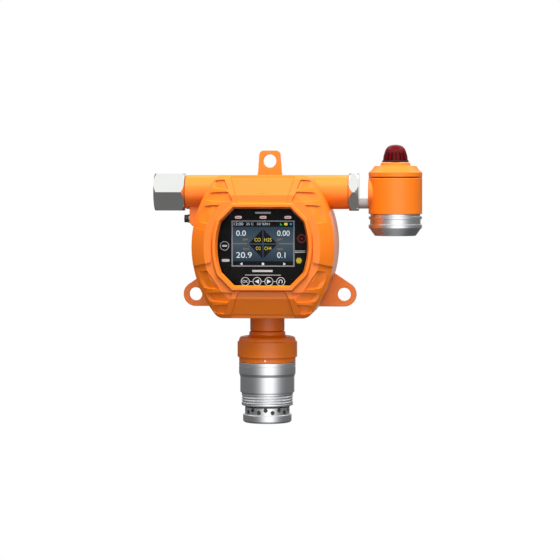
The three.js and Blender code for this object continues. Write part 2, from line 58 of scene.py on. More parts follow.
def towards(azimuth, elevation):
    flat = math.cos(elevation)
    return Vector((math.sin(azimuth) * flat, -math.cos(azimuth) * flat, math.sin(elevation)))


camera = bpy.data.objects.new("camera", bpy.data.cameras.new("camera"))
bpy.context.scene.collection.objects.link(camera)
camera.location = VIEW_CENTRE + towards(VIEW_AZIMUTH, VIEW_ELEVATION) * VIEW_DISTANCE
camera.rotation_euler = (-towards(VIEW_AZIMUTH, VIEW_ELEVATION)).to_track_quat("-Z", "Y").to_euler()
camera.data.lens = camera.data.sensor_width * VIEW_DISTANCE / FIELD
camera.data.clip_end = 100
bpy.context.scene.camera = camera
bpy.context.scene.view_settings.view_transform = "Standard"


def soft_box(name, azimuth, elevation, distance, width, height, watts, glossy):
    data = bpy.data.lights.new(name, "AREA")
    data.shape = "RECTANGLE"
    data.size, data.size_y = width, height
    data.energy = watts
    lamp = bpy.data.objects.new(name, data)
    bpy.context.scene.collection.objects.link(lamp)
    out = towards(math.radians(azimuth), math.radians(elevation))
    lamp.location = VIEW_CENTRE + out * distance
    lamp.rotation_euler = (-out).to_track_quat("-Z", "Z").to_euler()
    lamp.visible_glossy = glossy
    return lamp


soft_box(
    "key_box", azimuth=12, elevation=66, distance=1.8, width=1.2, height=1.0, watts=48, glossy=False
)

world = bpy.data.worlds.new("studio")
bpy.context.scene.world = world
world.use_nodes = True


class Wire:
    """A shader socket that takes part in sums."""

    def __init__(self, finish, socket):
        self.finish = finish
        self.socket = socket

    def maths(self, operation, *others):
        values = dict(enumerate((self, *others)))
        return self.finish.node("ShaderNodeMath", {"operation": operation}, values)

    def __add__(self, other):
        return self.maths("ADD", other)

    def __sub__(self, other):
        return self.maths("SUBTRACT", other)

    def __rsub__(self, other):
        return self * -1 + other

    def __mul__(self, other):
        return self.maths("MULTIPLY", other)

    def __gt__(self, other):
        return self.maths("GREATER_THAN", other)

    def __lt__(self, other):
        return self.maths("LESS_THAN", other)

    __radd__ = __add__
    __rmul__ = __mul__


class Finish:
    """A node tree that is filled by one method."""

    def __init__(self, tree):
        self.tree = tree
        tree.nodes.clear()

    def node(self, kind, settings=None, values=None, output=0):
        made = self.tree.nodes.new(kind)
        for key, value in (settings or {}).items():
            if key == "stops":
                while len(made.color_ramp.elements) < len(value):
                    made.color_ramp.elements.new(0.5)
                for stop, (place, colour) in zip(made.color_ramp.elements, value):
                    stop.position = place
                    stop.color = colour
            else:
                setattr(made, key, value)
        for key, value in (values or {}).items():
            if isinstance(value, Wire):
                self.tree.links.new(value.socket, made.inputs[key])
            else:
                made.inputs[key].default_value = value
        if made.outputs:
            return Wire(self, made.outputs[output])


def grey(value):
    return (value, value, value, 1)


studio = Finish(world.node_tree)
ray = studio.node("ShaderNodeTexCoord", output="Generated")
upward = studio.node("ShaderNodeSeparateXYZ", values={0: ray}, output="Z")
behind = studio.node("ShaderNodeSeparateXYZ", values={0: ray}, output="Y")
surround = studio.node(
    "ShaderNodeValToRGB",
    {
        "stops": [
            (0.0, grey(0.2)),
            (0.035, grey(0.1)),
            (0.08, grey(0.035)),
            (0.35, grey(0.045)),
            (0.5, grey(0.085)),
            (0.70, grey(0.15)),
            (0.80, grey(0.5)),
            (0.86, grey(1.0)),
            (0.92, grey(0.46)),
            (1.0, grey(0.4)),
        ]
    },
    {0: upward * 0.5 + 0.5},
)
back_wall = studio.node(
    "ShaderNodeValToRGB", {"stops": [(0.93, grey(0.0)), (0.99, grey(0.36))]}, {0: behind}
)
sideways = studio.node("ShaderNodeSeparateXYZ", values={0: ray}, output="X")
FRONT = towards(math.radians(12), 0)
facing = sideways * FRONT.x + behind * FRONT.y + upward * FRONT.z
front_wall = studio.node(
    "ShaderNodeValToRGB",
    {
        "stops": [
            (0.3, grey(0.0)), (0.60, grey(0.04)), (0.80, grey(0.16)), (0.90, grey(0.42)),
            (0.96, grey(0.6)), (1.0, grey(0.64)),
        ]
    },
    {0: facing},
)
walls = studio.node(
    "ShaderNodeMix", {"data_type": "RGBA", "blend_type": "ADD"}, {0: 1.0, 6: back_wall, 7: front_wall}, 2
)
room = studio.node(
    "ShaderNodeMix", {"data_type": "RGBA", "blend_type": "ADD"}, {0: 1.0, 6: surround, 7: walls}, 2
)
matt = studio.node("ShaderNodeLightPath", output="Is Diffuse Ray")
lit = studio.node("ShaderNodeBackground", values={0: room, 1: 2.2 - matt * 0.55})
plain = studio.node("ShaderNodeBackground", values={0: grey(1.0), 1: 1.0})
seen = studio.node("ShaderNodeLightPath", output="Is Camera Ray")
mixed = studio.node("ShaderNodeMixShader", values={0: seen, 1: lit, 2: plain})
studio.node("ShaderNodeOutputWorld", values={0: mixed})

FLOOR_DROP = 620 * mm
floor_mesh = bmesh.new()
bmesh.ops.create_grid(floor_mesh, x_segments=1, y_segments=1, size=30)
bmesh.ops.translate(floor_mesh, vec=(0, 0, -FLOOR_DROP), verts=floor_mesh.verts)
floor_data = bpy.data.meshes.new("floor")
floor_mesh.to_mesh(floor_data)
floor_mesh.free()
floor = bpy.data.objects.new("floor", floor_data)
bpy.context.scene.collection.objects.link(floor)
floor.visible_glossy = False
floor.visible_diffuse = False
floor.visible_shadow = False
floor_look = bpy.data.materials.new("pale_floor")
floor_look.use_nodes = True
floor_finish = Finish(floor_look.node_tree)
glow = floor_finish.node("ShaderNodeEmission", values={0: grey(1.0)})
floor_finish.node("ShaderNodeOutputMaterial", values={0: glow})
floor_data.materials.append(floor_look)

# ------------------------------------------------------------------ rear housing
# One aluminium casting, powder coated orange: a round-bored case with a bowed outline, two entry
# tubes, a neck for the sensor, an earth boss and three lugs. The collar has a coarse thread.
ENTRY_Z = 53.2 * mm
AXIS_Y = -38 * mm
entry_axis = (0, AXIS_Y, ENTRY_Z)
sensor_axis = (0, AXIS_Y, 0)


def spun(profile, axis="Z", centre=(0, 0, 0), steps=96, threads=()):
    """A closed turned solid from pairs of radius and place along the axis, in millimetres.

    Each thread is its start, end, pitch and depth, cut into the straight stretch it lies on.
    """
    points, cuts = [], []
    for a, b in zip(profile, profile[1:] + profile[:1]):
        points.append(a)
        for start, end, pitch, depth in threads:
            if a[0] == b[0] > 0 and min(a[1], b[1]) <= start and end <= max(a[1], b[1]):
                cuts.append((a[0], start, end, pitch, depth))
                rows = math.ceil((end - start) / pitch * 10)
                places = [start + (end - start) * i / rows for i in range(rows + 1)]
                points += [(a[0], z) for z in (places if a[1] < b[1] else reversed(places))]
    bm = bmesh.new()
    line = [bm.verts.new((radius * mm, 0, place * mm)) for radius, place in points]
    for a, b in zip(line, line[1:]):
        bm.edges.new((a, b))
    if profile[0][0] > 0:
        bm.edges.new((line[-1], line[0]))
    bmesh.ops.spin(
        bm, geom=bm.verts[:] + bm.edges[:], cent=(0, 0, 0), axis=(0, 0, 1), dvec=(0, 0, 0),
        angle=math.tau, steps=steps, use_merge=True, use_duplicate=False,
    )
    bmesh.ops.remove_doubles(bm, verts=bm.verts, dist=1e-6)
    for crest, start, end, pitch, depth in cuts:
        for v in bm.verts:
            radius, place = math.hypot(v.co.x, v.co.y) / mm, v.co.z / mm
            if abs(radius - crest) < 0.02 and start < place < end:
                phase = (place / pitch - math.atan2(v.co.y, v.co.x) / math.tau) % 1
                fade = min(1, (place - start) / pitch, (end - place) / pitch)
                scale = 1 - depth * fade * (0.5 - 0.5 * math.cos(math.tau * phase)) / radius
                v.co.x *= scale
                v.co.y *= scale
    turn = {
        "Z": Matrix.Identity(3),
        "X": Matrix.Rotation(math.pi / 2, 3, "Y"),
        "depth": Matrix.Rotation(math.pi / 2, 3, "X"),
    }[axis]
    bmesh.ops.rotate(bm, cent=(0, 0, 0), matrix=turn, verts=bm.verts)
    bmesh.ops.translate(bm, vec=centre, verts=bm.verts)
    bmesh.ops.recalc_face_normals(bm, faces=bm.faces)
    return bm


def rod(radius, start, end, axis="Z", centre=(0, 0, 0), steps=48):
    return spun([(0, start), (radius, start), (radius, end), (0, end)], axis, centre, steps)


def tube(inner, outer, start, end, axis="Z", centre=(0, 0, 0), steps=96):
    profile = [(inner, start), (outer, start), (outer, end), (inner, end)]
    return spun(profile, axis, centre, steps)


def soften(bm, offset, angle=25, segments=2):
    """Rounds the edges that turn by more than an angle."""
    limit = math.radians(angle)
    sharp = [e for e in bm.edges if e.is_manifold and e.calc_face_angle(0) > limit]
    bmesh.ops.bevel(
        bm, geom=sharp, offset=offset * mm, offset_type="OFFSET", segments=segments, profile=0.5,
        affect="EDGES", clamp_overlap=True, material=-1,
    )
    return bm


def slab(outline, near, far):
    """A flat-faced solid: an outline of x, z pairs in millimetres between two depths."""
    bm = bmesh.new()
    face = bm.faces.new([bm.verts.new((x * mm, -near * mm, z * mm)) for x, z in outline])
    pulled = bmesh.ops.extrude_face_region(bm, geom=[face])["geom"]
    moved = [v for v in pulled if isinstance(v, bmesh.types.BMVert)]
    bmesh.ops.translate(bm, vec=(0, -(far - near) * mm, 0), verts=moved)
    bmesh.ops.recalc_face_normals(bm, faces=bm.faces)
    return bm


def as_object(bm, name):
    mesh = bpy.data.meshes.new(name)
    bm.to_mesh(mesh)
    bm.free()
    made = bpy.data.objects.new(name, mesh)
    bpy.context.scene.collection.objects.link(made)
    return made


def carved(base, joined=(), cut=(), kept=()):
    """Joins, cuts and trims whole solids, and gives the result as one mesh to work on."""
    body = as_object(base, "blank")
    tools = [(as_object(bm, "tool"), "UNION") for bm in joined]
    tools += [(as_object(bm, "tool"), "DIFFERENCE") for bm in cut]
    tools += [(as_object(bm, "tool"), "INTERSECT") for bm in kept]
    for tool, operation in tools:
        step = body.modifiers.new("step", "BOOLEAN")
        step.operation = operation
        step.solver = "EXACT"
        step.object = tool
    evaluated = body.evaluated_get(bpy.context.evaluated_depsgraph_get())
    result = bmesh.new()
    result.from_mesh(evaluated.to_mesh())
    for made in [body] + [tool for tool, _ in tools]:
        bpy.data.meshes.remove(made.data)
    return result


def fit_piece(bm, name, look, body, slot, *nodes, smooth=30):
    """Makes the finished piece: its shading, its look, the body it rides on and what it replaces."""
    piece = as_object(bm, name)
    piece.data.materials.append(look)
    piece.data.shade_smooth()
    piece.data.set_sharp_from_angle(angle=math.radians(smooth))
    evened = piece.modifiers.new("evened_shading", "WEIGHTED_NORMAL")
    evened.keep_sharp = True
    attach(piece, body)
    if nodes:
        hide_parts(*nodes)
    return piece


def new_look(name, constants, feed=None):
    """A surface: constants go on the shader's own sockets, and feed gives the wires that vary."""
    look = bpy.data.materials.new(name)
    look.use_nodes = True
    finish = Finish(look.node_tree)
    values = dict(constants)
    if feed:
        values.update(feed(finish))
    shader = finish.node("ShaderNodeBsdfPrincipled", values=values)
    finish.node("ShaderNodeOutputMaterial", values={0: shader})
    return look


def cloud(finish, scale, detail=2, stretch=(1, 1, 1)):
    """Soft noise over the object, from 0 to 1."""
    place = finish.node("ShaderNodeTexCoord", output="Object")
    place = finish.node("ShaderNodeMapping", values={0: place, 3: stretch})
    settings = {"noise_dimensions": "3D"}
    return finish.node("ShaderNodeTexNoise", settings, {0: place, 2: scale, 3: detail})


def bumped(finish, heightmap, strength, depth):
    values = {"Strength": strength, "Distance": depth, "Height": heightmap}
    return finish.node("ShaderNodeBump", values=values)


def blended(finish, mask, low, high):
    return finish.node("ShaderNodeMix", {"data_type": "RGBA"}, {0: mask, 6: low, 7: high}, 2)


def powder_feed(finish):
    peel = cloud(finish, 900, 1)
    drift = cloud(finish, 22, 3)
    return {
        "Base Color": blended(finish, drift, (0.91, 0.19, 0.005, 1), (0.98, 0.222, 0.008, 1)),
        "Roughness": drift * 0.1 + 0.3,
        "Normal": bumped(finish, peel, 0.12, 0.0003),
    }


powder = new_look("orange_powder_coat", {"Specular IOR Level": 0.55}, powder_feed)


def bow(centre, radius, start, end, steps, cz=0):
    """Points on an arc, angles in degrees from +X, as x, z pairs."""
    turns = [math.radians(start + (end - start) * i / steps) for i in range(steps + 1)]
    return [(centre + radius * math.cos(t), cz + radius * math.sin(t)) for t in turns]


def flipped(outline, sx, sz):
    return [(x * sx, z * sz) for x, z in outline]


def four_fold(quarter):
    back = quarter[-2::-1]
    return quarter + flipped(back, 1, -1) + flipped(quarter, -1, -1) + flipped(back, -1, 1)


def body_outline(inset=0.0):
    """Flats 140 mm apart, sides bowed to 107 mm and corners of 11 mm."""
    centre, side, corner = -37, 107, 11
    corner_z = 59
    corner_x = centre + math.sqrt((side - corner) ** 2 - corner_z**2)
    turn = math.degrees(math.atan2(corner_z, corner_x - centre))
    quarter = bow(corner_x, corner - inset, 90, turn, 8, corner_z)
    return four_fold(quarter + bow(centre, side - inset, turn, 0, 20)[1:])


def top_lug():
    right = [(12.5, 62), (12.5, 71.4), (12, 72)] + bow(6.1, 4.5, 4, 90, 10, 90.5)
    return soften(slab(right + [(-x, z) for x, z in reversed(right)], 0, 8), 0.7, 40)


def side_lug(side):
    outline = [(44, -62.7)] + bow(75.5, 12.3, -90, 56, 32, -50.4) + [(57, -23), (44, -23)]
    return soften(slab(flipped(outline, side, 1), 0, 8), 0.7, 40)


def lug_hole(x, z):
    profile = [(0, -1), (7.7, -1), (6.7, 0.7), (6.7, 7.3), (7.7, 9), (0, 9)]
    return spun(profile, "depth", (x * mm, 0, z * mm), 48)


def entry_bore(side):
    profile = [(0, 30), (11, 30), (11, 58), (13.2, 58), (13.2, 80.6), (14.6, 82), (0, 82)]
    return spun([(r, side * t) for r, t in profile], "X", entry_axis, 64)


tube_profile = [(0, -81.6), (16.2, -81.6), (17, -80.8), (17, 80.8), (16.2, 81.6), (0, 81.6)]
boss_outline = [(-60, 46), (-77.3, 46), (-77.3, 22.8), (-74.6, 19.3), (-60, 16)]
collar_profile = [(0, 58), (61.6, 58), (61.6, 71.3), (60.9, 72), (0, 72)]
case = carved(
    soften(slab(body_outline(), 0, 60), 0.8, 60, 3),
    [
        spun(collar_profile, "depth", threads=[(61.5, 71, 2, 0.8)]),
        spun(tube_profile, "X", entry_axis),
        spun([(0, -60), (17.2, -60), (17.2, -84.6), (16.5, -85.3), (0, -85.3)], "Z", sensor_axis),
        soften(slab(boss_outline, 30, 46), 0.8, 25),
        top_lug(),
        side_lug(1),
        side_lug(-1),
    ],
    [
        rod(58, 6, 80, "depth", steps=96),
        entry_bore(1),
        entry_bore(-1),
        rod(12.6, -90, -40, "Z", sensor_axis),
        rod(2.4, -80, -63, "X", (0, AXIS_Y, 26.6 * mm), 24),
        lug_hole(0, 84.4),
        lug_hole(75.5, -50.4),
        lug_hole(-75.5, -50.4),
    ],
)
fit_piece(case, "housing_casting", powder, "housing", "orange_powder", "rear_housing")

# ------------------------------------------------------------------ front cover
# The screwed cover is a second casting with stepped facets, sunk pockets, raised side panels and
# a raised rim round the window. It is machined inside for the glass and the collar's thread.


def window_outline(grow=0.0):
    """A flat top and bottom, cut corners and sides bowed to 74 mm."""
    radius = 74 + grow
    corner_z = 24.5 + 0.54 * grow
    turn = math.degrees(math.asin(corner_z / radius))
    quarter = [(27 + 0.42 * grow, 37 + grow)] + bow(43.4 - 74, radius, turn, 0, 16)
    return four_fold(quarter)


def hull(*levels):
    """The convex solid over outlines at given depths."""
    bm = bmesh.new()
    for outline, depth in levels:
        for x, z in outline:
            bm.verts.new((x * mm, -depth * mm, z * mm))
    found = bmesh.ops.convex_hull(bm, input=bm.verts)
    bmesh.ops.delete(bm, geom=found["geom_interior"], context="VERTS")
    bmesh.ops.dissolve_limit(bm, angle_limit=math.radians(0.2), verts=bm.verts, edges=bm.edges)
    bmesh.ops.recalc_face_normals(bm, faces=bm.faces)
    return bm


def cover_blank(shift=0.0):
    bm = hull(
        (body_outline(), 60.3),
        (body_outline(), 92),
        (body_outline(4), 96),
        (window_outline(13.5), 102.6),
        (window_outline(7), 103),
    )
    bmesh.ops.translate(bm, vec=(0, shift * mm, 0), verts=bm.verts)
    return bm


POCKET_STEP = 1.8
pocket_outlines = [
    [(-80, 65.1), (-37.7, 65.1), (-34.8, 57.2), (-80, 57.2)],
    [(-80, 53.4), (-33.8, 53.4), (-29.9, 45.4), (-80, 45.4)],
    [(-80, 40.3), (-43.1, 40.3), (-54.3, 23.7), (-80, 23.7)],
]
centre_outline = [(-33.8, 75), (33.8, 75), (23.1, 45.6), (21.4, 43.9), (-21.4, 43.9), (-23.1, 45.6)]
panel_outline = [(-80, 21.9), (-50.9, 14.9), (-49.9, 13.9), (-49.9, -13.9), (-50.9, -14.9), (-80, -21.9)]

sunk = [flipped(o, sx, sz) for o in pocket_outlines for sx in (1, -1) for sz in (1, -1)]
sunk += [centre_outline, flipped(centre_outline, 1, -1)]
surface = BVHTree.FromBMesh(cover_blank())
WALL_DRAFT = 0.4


def grown(outline, margin):
    """A convex outline with each side moved outward."""
    points = [Vector(p) for p in outline]
    middle = sum(points, Vector((0, 0))) / len(points)
    made = []
    for before, here, after in zip(points[-1:] + points[:-1], points, points[1:] + points[:1]):
        normals = []
        for a, b in ((before, here), (here, after)):
            out = Vector((b.y - a.y, a.x - b.x)).normalized()
            normals.append(out if out.dot(a - middle) > 0 else -out)
        push = (normals[0] + normals[1]) / (1 + normals[0].dot(normals[1]))
        made.append(tuple(here + push * margin))
    return made


def surface_depth(x, z):
    hit = surface.ray_cast(Vector((x * mm, -1, z * mm)), Vector((0, 1, 0)))[0]
    return -hit.y / mm if hit else 94


def pocket_tool(outline):
    """A pocket with drafted walls, over a floor that follows the face one step below it."""
    bm = bmesh.new()
    depths = [surface_depth(x, z) for x, z in outline]
    for lift in (-3, 3):
        margin = (lift + POCKET_STEP) * WALL_DRAFT
        for (x, z), depth in zip(grown(outline, margin), depths):
            bm.verts.new((x * mm, -(depth + lift) * mm, z * mm))
    found = bmesh.ops.convex_hull(bm, input=bm.verts)
    bmesh.ops.delete(bm, geom=found["geom_interior"], context="VERTS")
    bmesh.ops.recalc_face_normals(bm, faces=bm.faces)
    return carved(bm, cut=[cover_blank(POCKET_STEP)])


pocket_tools = [pocket_tool(outline) for outline in sunk]
raised = [
    carved(slab(flipped(panel_outline, side, 1), 91, 110), kept=[cover_blank(-POCKET_STEP)])
    for side in (1, -1)
]
rim = hull((window_outline(7.2), 100.6), (window_outline(5.6), 105.1), (window_outline(4.6), 106))
opening = hull((window_outline(0), 98.9), (window_outline(2.4), 106.2))
hollow = [
    (0, 59), (62, 59), (62, 72.8), (60, 72.8), (60, 88), (54.3, 88), (54.3, 91.9), (52.3, 91.9),
    (52.3, 100.1), (0, 100.1),
]
cover = carved(
    cover_blank(),
    [*raised, rim],
    [
        *pocket_tools,
        spun(hollow, "depth"),
        opening,
        tube(64.2, 67, 59, 62.2, "depth"),
        rod(2.3, -72, -60, "Z", (20 * mm, -66 * mm, 0), 24),
    ],
)
bmesh.ops.remove_doubles(cover, verts=cover.verts, dist=2e-5)
soften(cover, 0.2, 17, 1)
fit_piece(cover, "cover_casting", powder, "cover", "orange_powder", "front_cover", smooth=20)

# ------------------------------------------------------------------ cover seals and lock screw
# A nitrile ring seals the cover on the housing, and a flat gasket seals the glass. A small black
# socket screw under the cover locks it.


def rubber_feed(finish):
    return {"Roughness": cloud(finish, 300) * 0.15 + 0.6}


rubber = new_look("black_nitrile", {"Base Color": (0.012, 0.012, 0.013, 1)}, rubber_feed)


def cord_ring(inner, outer, start, end, axis, centre=(0, 0, 0)):
    """A ring with a rounded section."""
    middle, across = (inner + outer) / 2, (outer - inner) / 2
    centre_place, along = (start + end) / 2, (end - start) / 2
    turns = [math.tau * i / 12 for i in range(12)]
    section = [(middle + across * math.cos(t), centre_place + along * math.sin(t)) for t in turns]
    return spun(section, axis, centre)


fit_piece(
    cord_ring(64.5, 66.7, 60.3, 61.9, "depth"), "cover_seal_ring", rubber, "cover_seal",
    "black_rubber", "cover_o_ring", smooth=60,
)
fit_piece(
    soften(tube(47.4, 51.8, 99.2, 99.8, "depth"), 0.15, 40), "glass_gasket", rubber, "cover",
    "black_rubber", "window_gasket",
)


def steel_feed(finish):
    return {"Roughness": cloud(finish, 400) * 0.12 + 0.28}


dark_steel = new_look(
    "blackened_steel", {"Base Color": (0.09, 0.088, 0.085, 1), "Metallic": 0.9}, steel_feed
)


def socket_screw(radius, start, end, centre, axis="Z", socket=0.5):
    profile = [(0, start), (radius - 0.3, start), (radius, start + 0.3), (radius, end), (0, end)]
    key = rod(radius * socket, start - 1, start + 1.6, axis, centre, 6)
    return carved(spun(profile, axis, centre, 32), cut=[key])


fit_piece(
    socket_screw(2, -69.4, -62.8, (20 * mm, -66 * mm, 0)), "cover_screw", dark_steel, "cover",
    "dark_screw", "cover_lock_screw",
)

# ------------------------------------------------------------------ window glass and its ring
# The window is a toughened glass disc, 6.9 mm thick, held from inside by a black threaded ring.
glass = new_look(
    "window_glass",
    {
        "Base Color": (0.02, 0.022, 0.024, 1),
        "Roughness": 0.03,
        "Alpha": 0.02,
        "IOR": 1.5,
        "Specular IOR Level": 0.02,
    },
)
glass.surface_render_method = "BLENDED"
fit_piece(
    soften(rod(52, 92, 98.9, "depth", steps=96), 0.5, 40), "window_pane", glass, "cover",
    "clear_glass", "window_glass",
)

satin_black = new_look(
    "satin_black_panel",
    {"Base Color": (0.0025, 0.0025, 0.003, 1), "Roughness": 0.5, "Specular IOR Level": 0.12},
)
ring_profile = [(47, 88.3), (54, 88.3), (54, 91.7), (47, 91.7)]
ring_thread = [(88.6, 91.4, 0.9, 0.35)]
notches = [
    rod(1.5, 87, 90, "depth", (50.5 * mm * math.cos(t), 0, 50.5 * mm * math.sin(t)), 16)
    for t in (0.4 + i * math.pi / 2 for i in range(4))
]
fit_piece(
    carved(spun(ring_profile, "depth", threads=ring_thread), cut=notches), "glass_ring", satin_black,
    "cover", "black_panel", "window_ring",
)

# ------------------------------------------------------------------ display panel
# Behind the glass, a black printed panel carries a colour screen in a thin grey trim. Three status
# windows sit above it, with a painted glow, and four touch keys are printed below with small marks at
# the sides.
PANEL_DEPTH = 91.2
SCREEN_DEPTH = 90.9
SCREEN_Z = 3.2
STATUS_Z = 28.8
status_x = (-24.3, 0, 24.3)


def oblong(half_length, radius, steps=8):
    end = bow(half_length - radius, radius, 90, -90, steps)
    return end + flipped(end[::-1], -1, 1)


def moved(outline, x, z):
    return [(px + x, pz + z) for px, pz in outline]


def rectangle(x0, x1, z0, z1):
    return [(x0, z0), (x1, z0), (x1, z1), (x0, z1)]


panel = carved(
    rod(46.6, 88.9, PANEL_DEPTH, "depth", steps=96),
    cut=[slab(rectangle(-31.2, 31.2, SCREEN_Z - 22.9, SCREEN_Z + 22.9), 85, 95)]
    + [slab(moved(oblong(3.5, 1.5), x, STATUS_Z), 85, 95) for x in status_x],
)
fit_piece(panel, "display_panel", satin_black, "housing", "black_panel", "face_panel")

trim = new_look("grey_trim", {"Base Color": (0.26, 0.27, 0.29, 1), "Roughness": 0.45, "Metallic": 0.3})
trim_frame = carved(
    slab(rectangle(-30.9, 30.9, SCREEN_Z - 22.6, SCREEN_Z + 22.6), 88.9, PANEL_DEPTH),
    cut=[slab(rectangle(-29.7, 29.7, SCREEN_Z - 21.4, SCREEN_Z + 21.4), 85, 95)],
)
fit_piece(soften(trim_frame, 0.15, 40), "screen_trim", trim, "housing", "grey_trim", "lcd_frame")


def glowing(name, colour, feed=None):
    constants = {
        "Base Color": (0.004, 0.004, 0.005, 1),
        "Roughness": 0.5,
        "Specular IOR Level": 0.1,
        "Emission Color": (*colour, 1),
        "Emission Strength": 1.0,
    }
    return new_look(name, constants, feed)


def screen_feed(finish):
    """A slate blue field, lightest along its middle, under a black bar and over another."""
    place = finish.node("ShaderNodeTexCoord", output="Object")
    z = finish.node("ShaderNodeSeparateXYZ", values={0: place}, output="Z") * 1000
    x = finish.node("ShaderNodeSeparateXYZ", values={0: place}, output="X") * 1000
    low, high = -14.1, 19.6
    inside = (z > low) * (z < high)
    across = (z - low) * (1 / (high - low))
    stops = [
        (0.0, (0.016, 0.036, 0.058, 1)),
        (0.5, (0.055, 0.086, 0.118, 1)),
        (1.0, (0.022, 0.045, 0.070, 1)),
    ]
    field = finish.node("ShaderNodeValToRGB", {"stops": stops}, {0: across})
    rule = (z > 2.7) * (z < 3.5) * ((x < -15.8) + (x > 15.8))
    ruled = blended(finish, rule, field, (0.24, 0.19, 0.015, 1))
    return {"Emission Color": blended(finish, inside, (0.0008, 0.0008, 0.001, 1), ruled)}


screen_look = glowing("screen_picture", (0.05, 0.08, 0.11), screen_feed)
module = carved(
    slab(rectangle(-29.4, 29.4, SCREEN_Z - 21.1, SCREEN_Z + 21.1), 88, SCREEN_DEPTH),
    [slab(rectangle(-35, 35, SCREEN_Z - 23.7, SCREEN_Z + 23.7), 80, 88.6)],
)
fit_piece(module, "screen_module", screen_look, "housing", "lcd_screen", "lcd_module")

INK = 0.04
INK_ROOT = 0.01


def gathered(*parts):
    """Several solids as one mesh."""
    whole = bmesh.new()
    for bm in parts:
        mesh = bpy.data.meshes.new("part")
        bm.to_mesh(mesh)
        bm.free()
        whole.from_mesh(mesh)
        bpy.data.meshes.remove(mesh)
    return whole


def mark(outline, depth=SCREEN_DEPTH, x=0, z=0):
    return slab(moved(outline, x, z), depth - INK_ROOT, depth + INK)


def hoop(inner, outer, x, z, depth=PANEL_DEPTH):
    return tube(inner, outer, depth - INK_ROOT, depth + INK, "depth", (x * mm, 0, z * mm), 40)


def words(text, x0, x1, z0, z1, depth=SCREEN_DEPTH):
    """Raised characters, fitted to a box."""
    curve = bpy.data.curves.new("words", "FONT")
    curve.body = text
    curve.extrude = 0.5 * (INK + INK_ROOT) * mm
    holder = bpy.data.objects.new("words", curve)
    bpy.context.scene.collection.objects.link(holder)
    evaluated = holder.evaluated_get(bpy.context.evaluated_depsgraph_get())
    bm = bmesh.new()
    bm.from_mesh(evaluated.to_mesh())
    bpy.data.objects.remove(holder)
    bpy.data.curves.remove(curve)
    bmesh.ops.remove_doubles(bm, verts=bm.verts, dist=1e-7)
    xs = [v.co.x for v in bm.verts]
    ys = [v.co.y for v in bm.verts]
    sx = (x1 - x0) * mm / (max(xs) - min(xs))
    sy = (z1 - z0) * mm / (max(ys) - min(ys))
    for v in bm.verts:
        x, up, out = v.co
        middle = depth + (INK - INK_ROOT) / 2
        v.co = ((x - min(xs)) * sx + x0 * mm, -middle * mm - out, (up - min(ys)) * sy + z0 * mm)
    return bm


def show(bm, name, look, body="housing", slot="lcd_screen"):
    return fit_piece(bm, name, look, body, slot)


white_light = glowing("screen_white", (0.8, 0.84, 0.86))
pale_light = glowing("screen_pale", (0.5, 0.56, 0.62))
yellow_light = glowing("screen_yellow", (0.75, 0.62, 0.05))
amber_light = glowing("screen_amber", (0.45, 0.19, 0.02))
green_light = glowing("screen_green", (0.02, 0.5, 0.12))
blue_light = glowing("screen_blue", (0.02, 0.28, 0.6))
dark_light = glowing("screen_dark", (0.002, 0.002, 0.006))

tip_x, tip_z, split = 13.7, 14.3, 0.5
quarter_tile = [(split, split), (tip_x, split), (split, tip_z)]
tiles = [mark(flipped(quarter_tile, sx, sz), z=2.8) for sx in (1, -1) for sz in (1, -1)]
show(gathered(*tiles), "screen_tiles", dark_light)
readings = [
    words("0.0", -26.3, -16.8, 10.8, 16.0),
    words("0.00", 13.9, 26.2, 10.8, 16.0),
    words("20.9", -26.3, -11.0, -10.8, -5.2),
    words("0.1", 13.9, 22.0, -10.8, -5.2),
    mark([(-20.2, -18.2), (-22.6, -16.7), (-20.2, -15.2)]),
    mark([(20, -15.2), (22.4, -16.7), (20, -18.2)]),
    mark(bow(0, 1.3, 0, 330, 11), z=-16.7),
]
show(gathered(*readings), "screen_readings", white_light)
clock = [
    words("12:00", -28.5, -19.4, 21.0, 23.8),
    words("25 C", -16.4, -9.4, 21.2, 23.6),
    words("50 %RH", -6.0, 6.6, 21.2, 23.6),
]
show(gathered(*clock), "screen_status", pale_light)
gases = [
    words("CO", -8.3, -2.3, 5.2, 8.6, SCREEN_DEPTH + INK),
    words("H2S", 1.4, 8.4, 5.2, 8.6, SCREEN_DEPTH + INK),
    words("O2", -7.0, -2.3, -3.0, 0.2, SCREEN_DEPTH + INK),
    words("CH4", 1.4, 8.2, -3.0, 0.2, SCREEN_DEPTH + INK),
    mark(rectangle(20.9, 24.0, 21.1, 23.5)),
]
show(gathered(*gases), "screen_gases", yellow_light)
units = [
    words("ppm", -19.6, -14.8, 5.8, 8.0),
    words("ppm", 13.9, 18.7, 5.8, 8.0),
    words("%Vol", -19.6, -13.9, -3.1, -1.1),
    words("%LEL", 13.9, 19.9, -3.1, -1.1),
]
show(gathered(*units), "screen_units", amber_light)
show(mark([(16.8, 21.1), (19.0, 21.1), (16.8, 23.5)]), "screen_signal", green_light)
show(mark(oblong(1.2, 0.9), x=27.4, z=22.3), "screen_link", blue_light)

white_ink = new_look("white_ink", {"Base Color": (0.75, 0.76, 0.77, 1), "Roughness": 0.6})
grey_ink = new_look("grey_ink", {"Base Color": (0.55, 0.56, 0.57, 1), "Roughness": 0.6})
red_ink = new_look("red_ink", {"Base Color": (0.30, 0.008, 0.006, 1), "Roughness": 0.6})
yellow_ink = new_look("yellow_ink", {"Base Color": (0.55, 0.48, 0.02, 1), "Roughness": 0.6})

KEY_Z = -33.9
key_x = (-17.4, -5.8, 5.8, 17.4)


def panel_mark(outline, x=0, z=0):
    return mark(outline, PANEL_DEPTH, x, z)


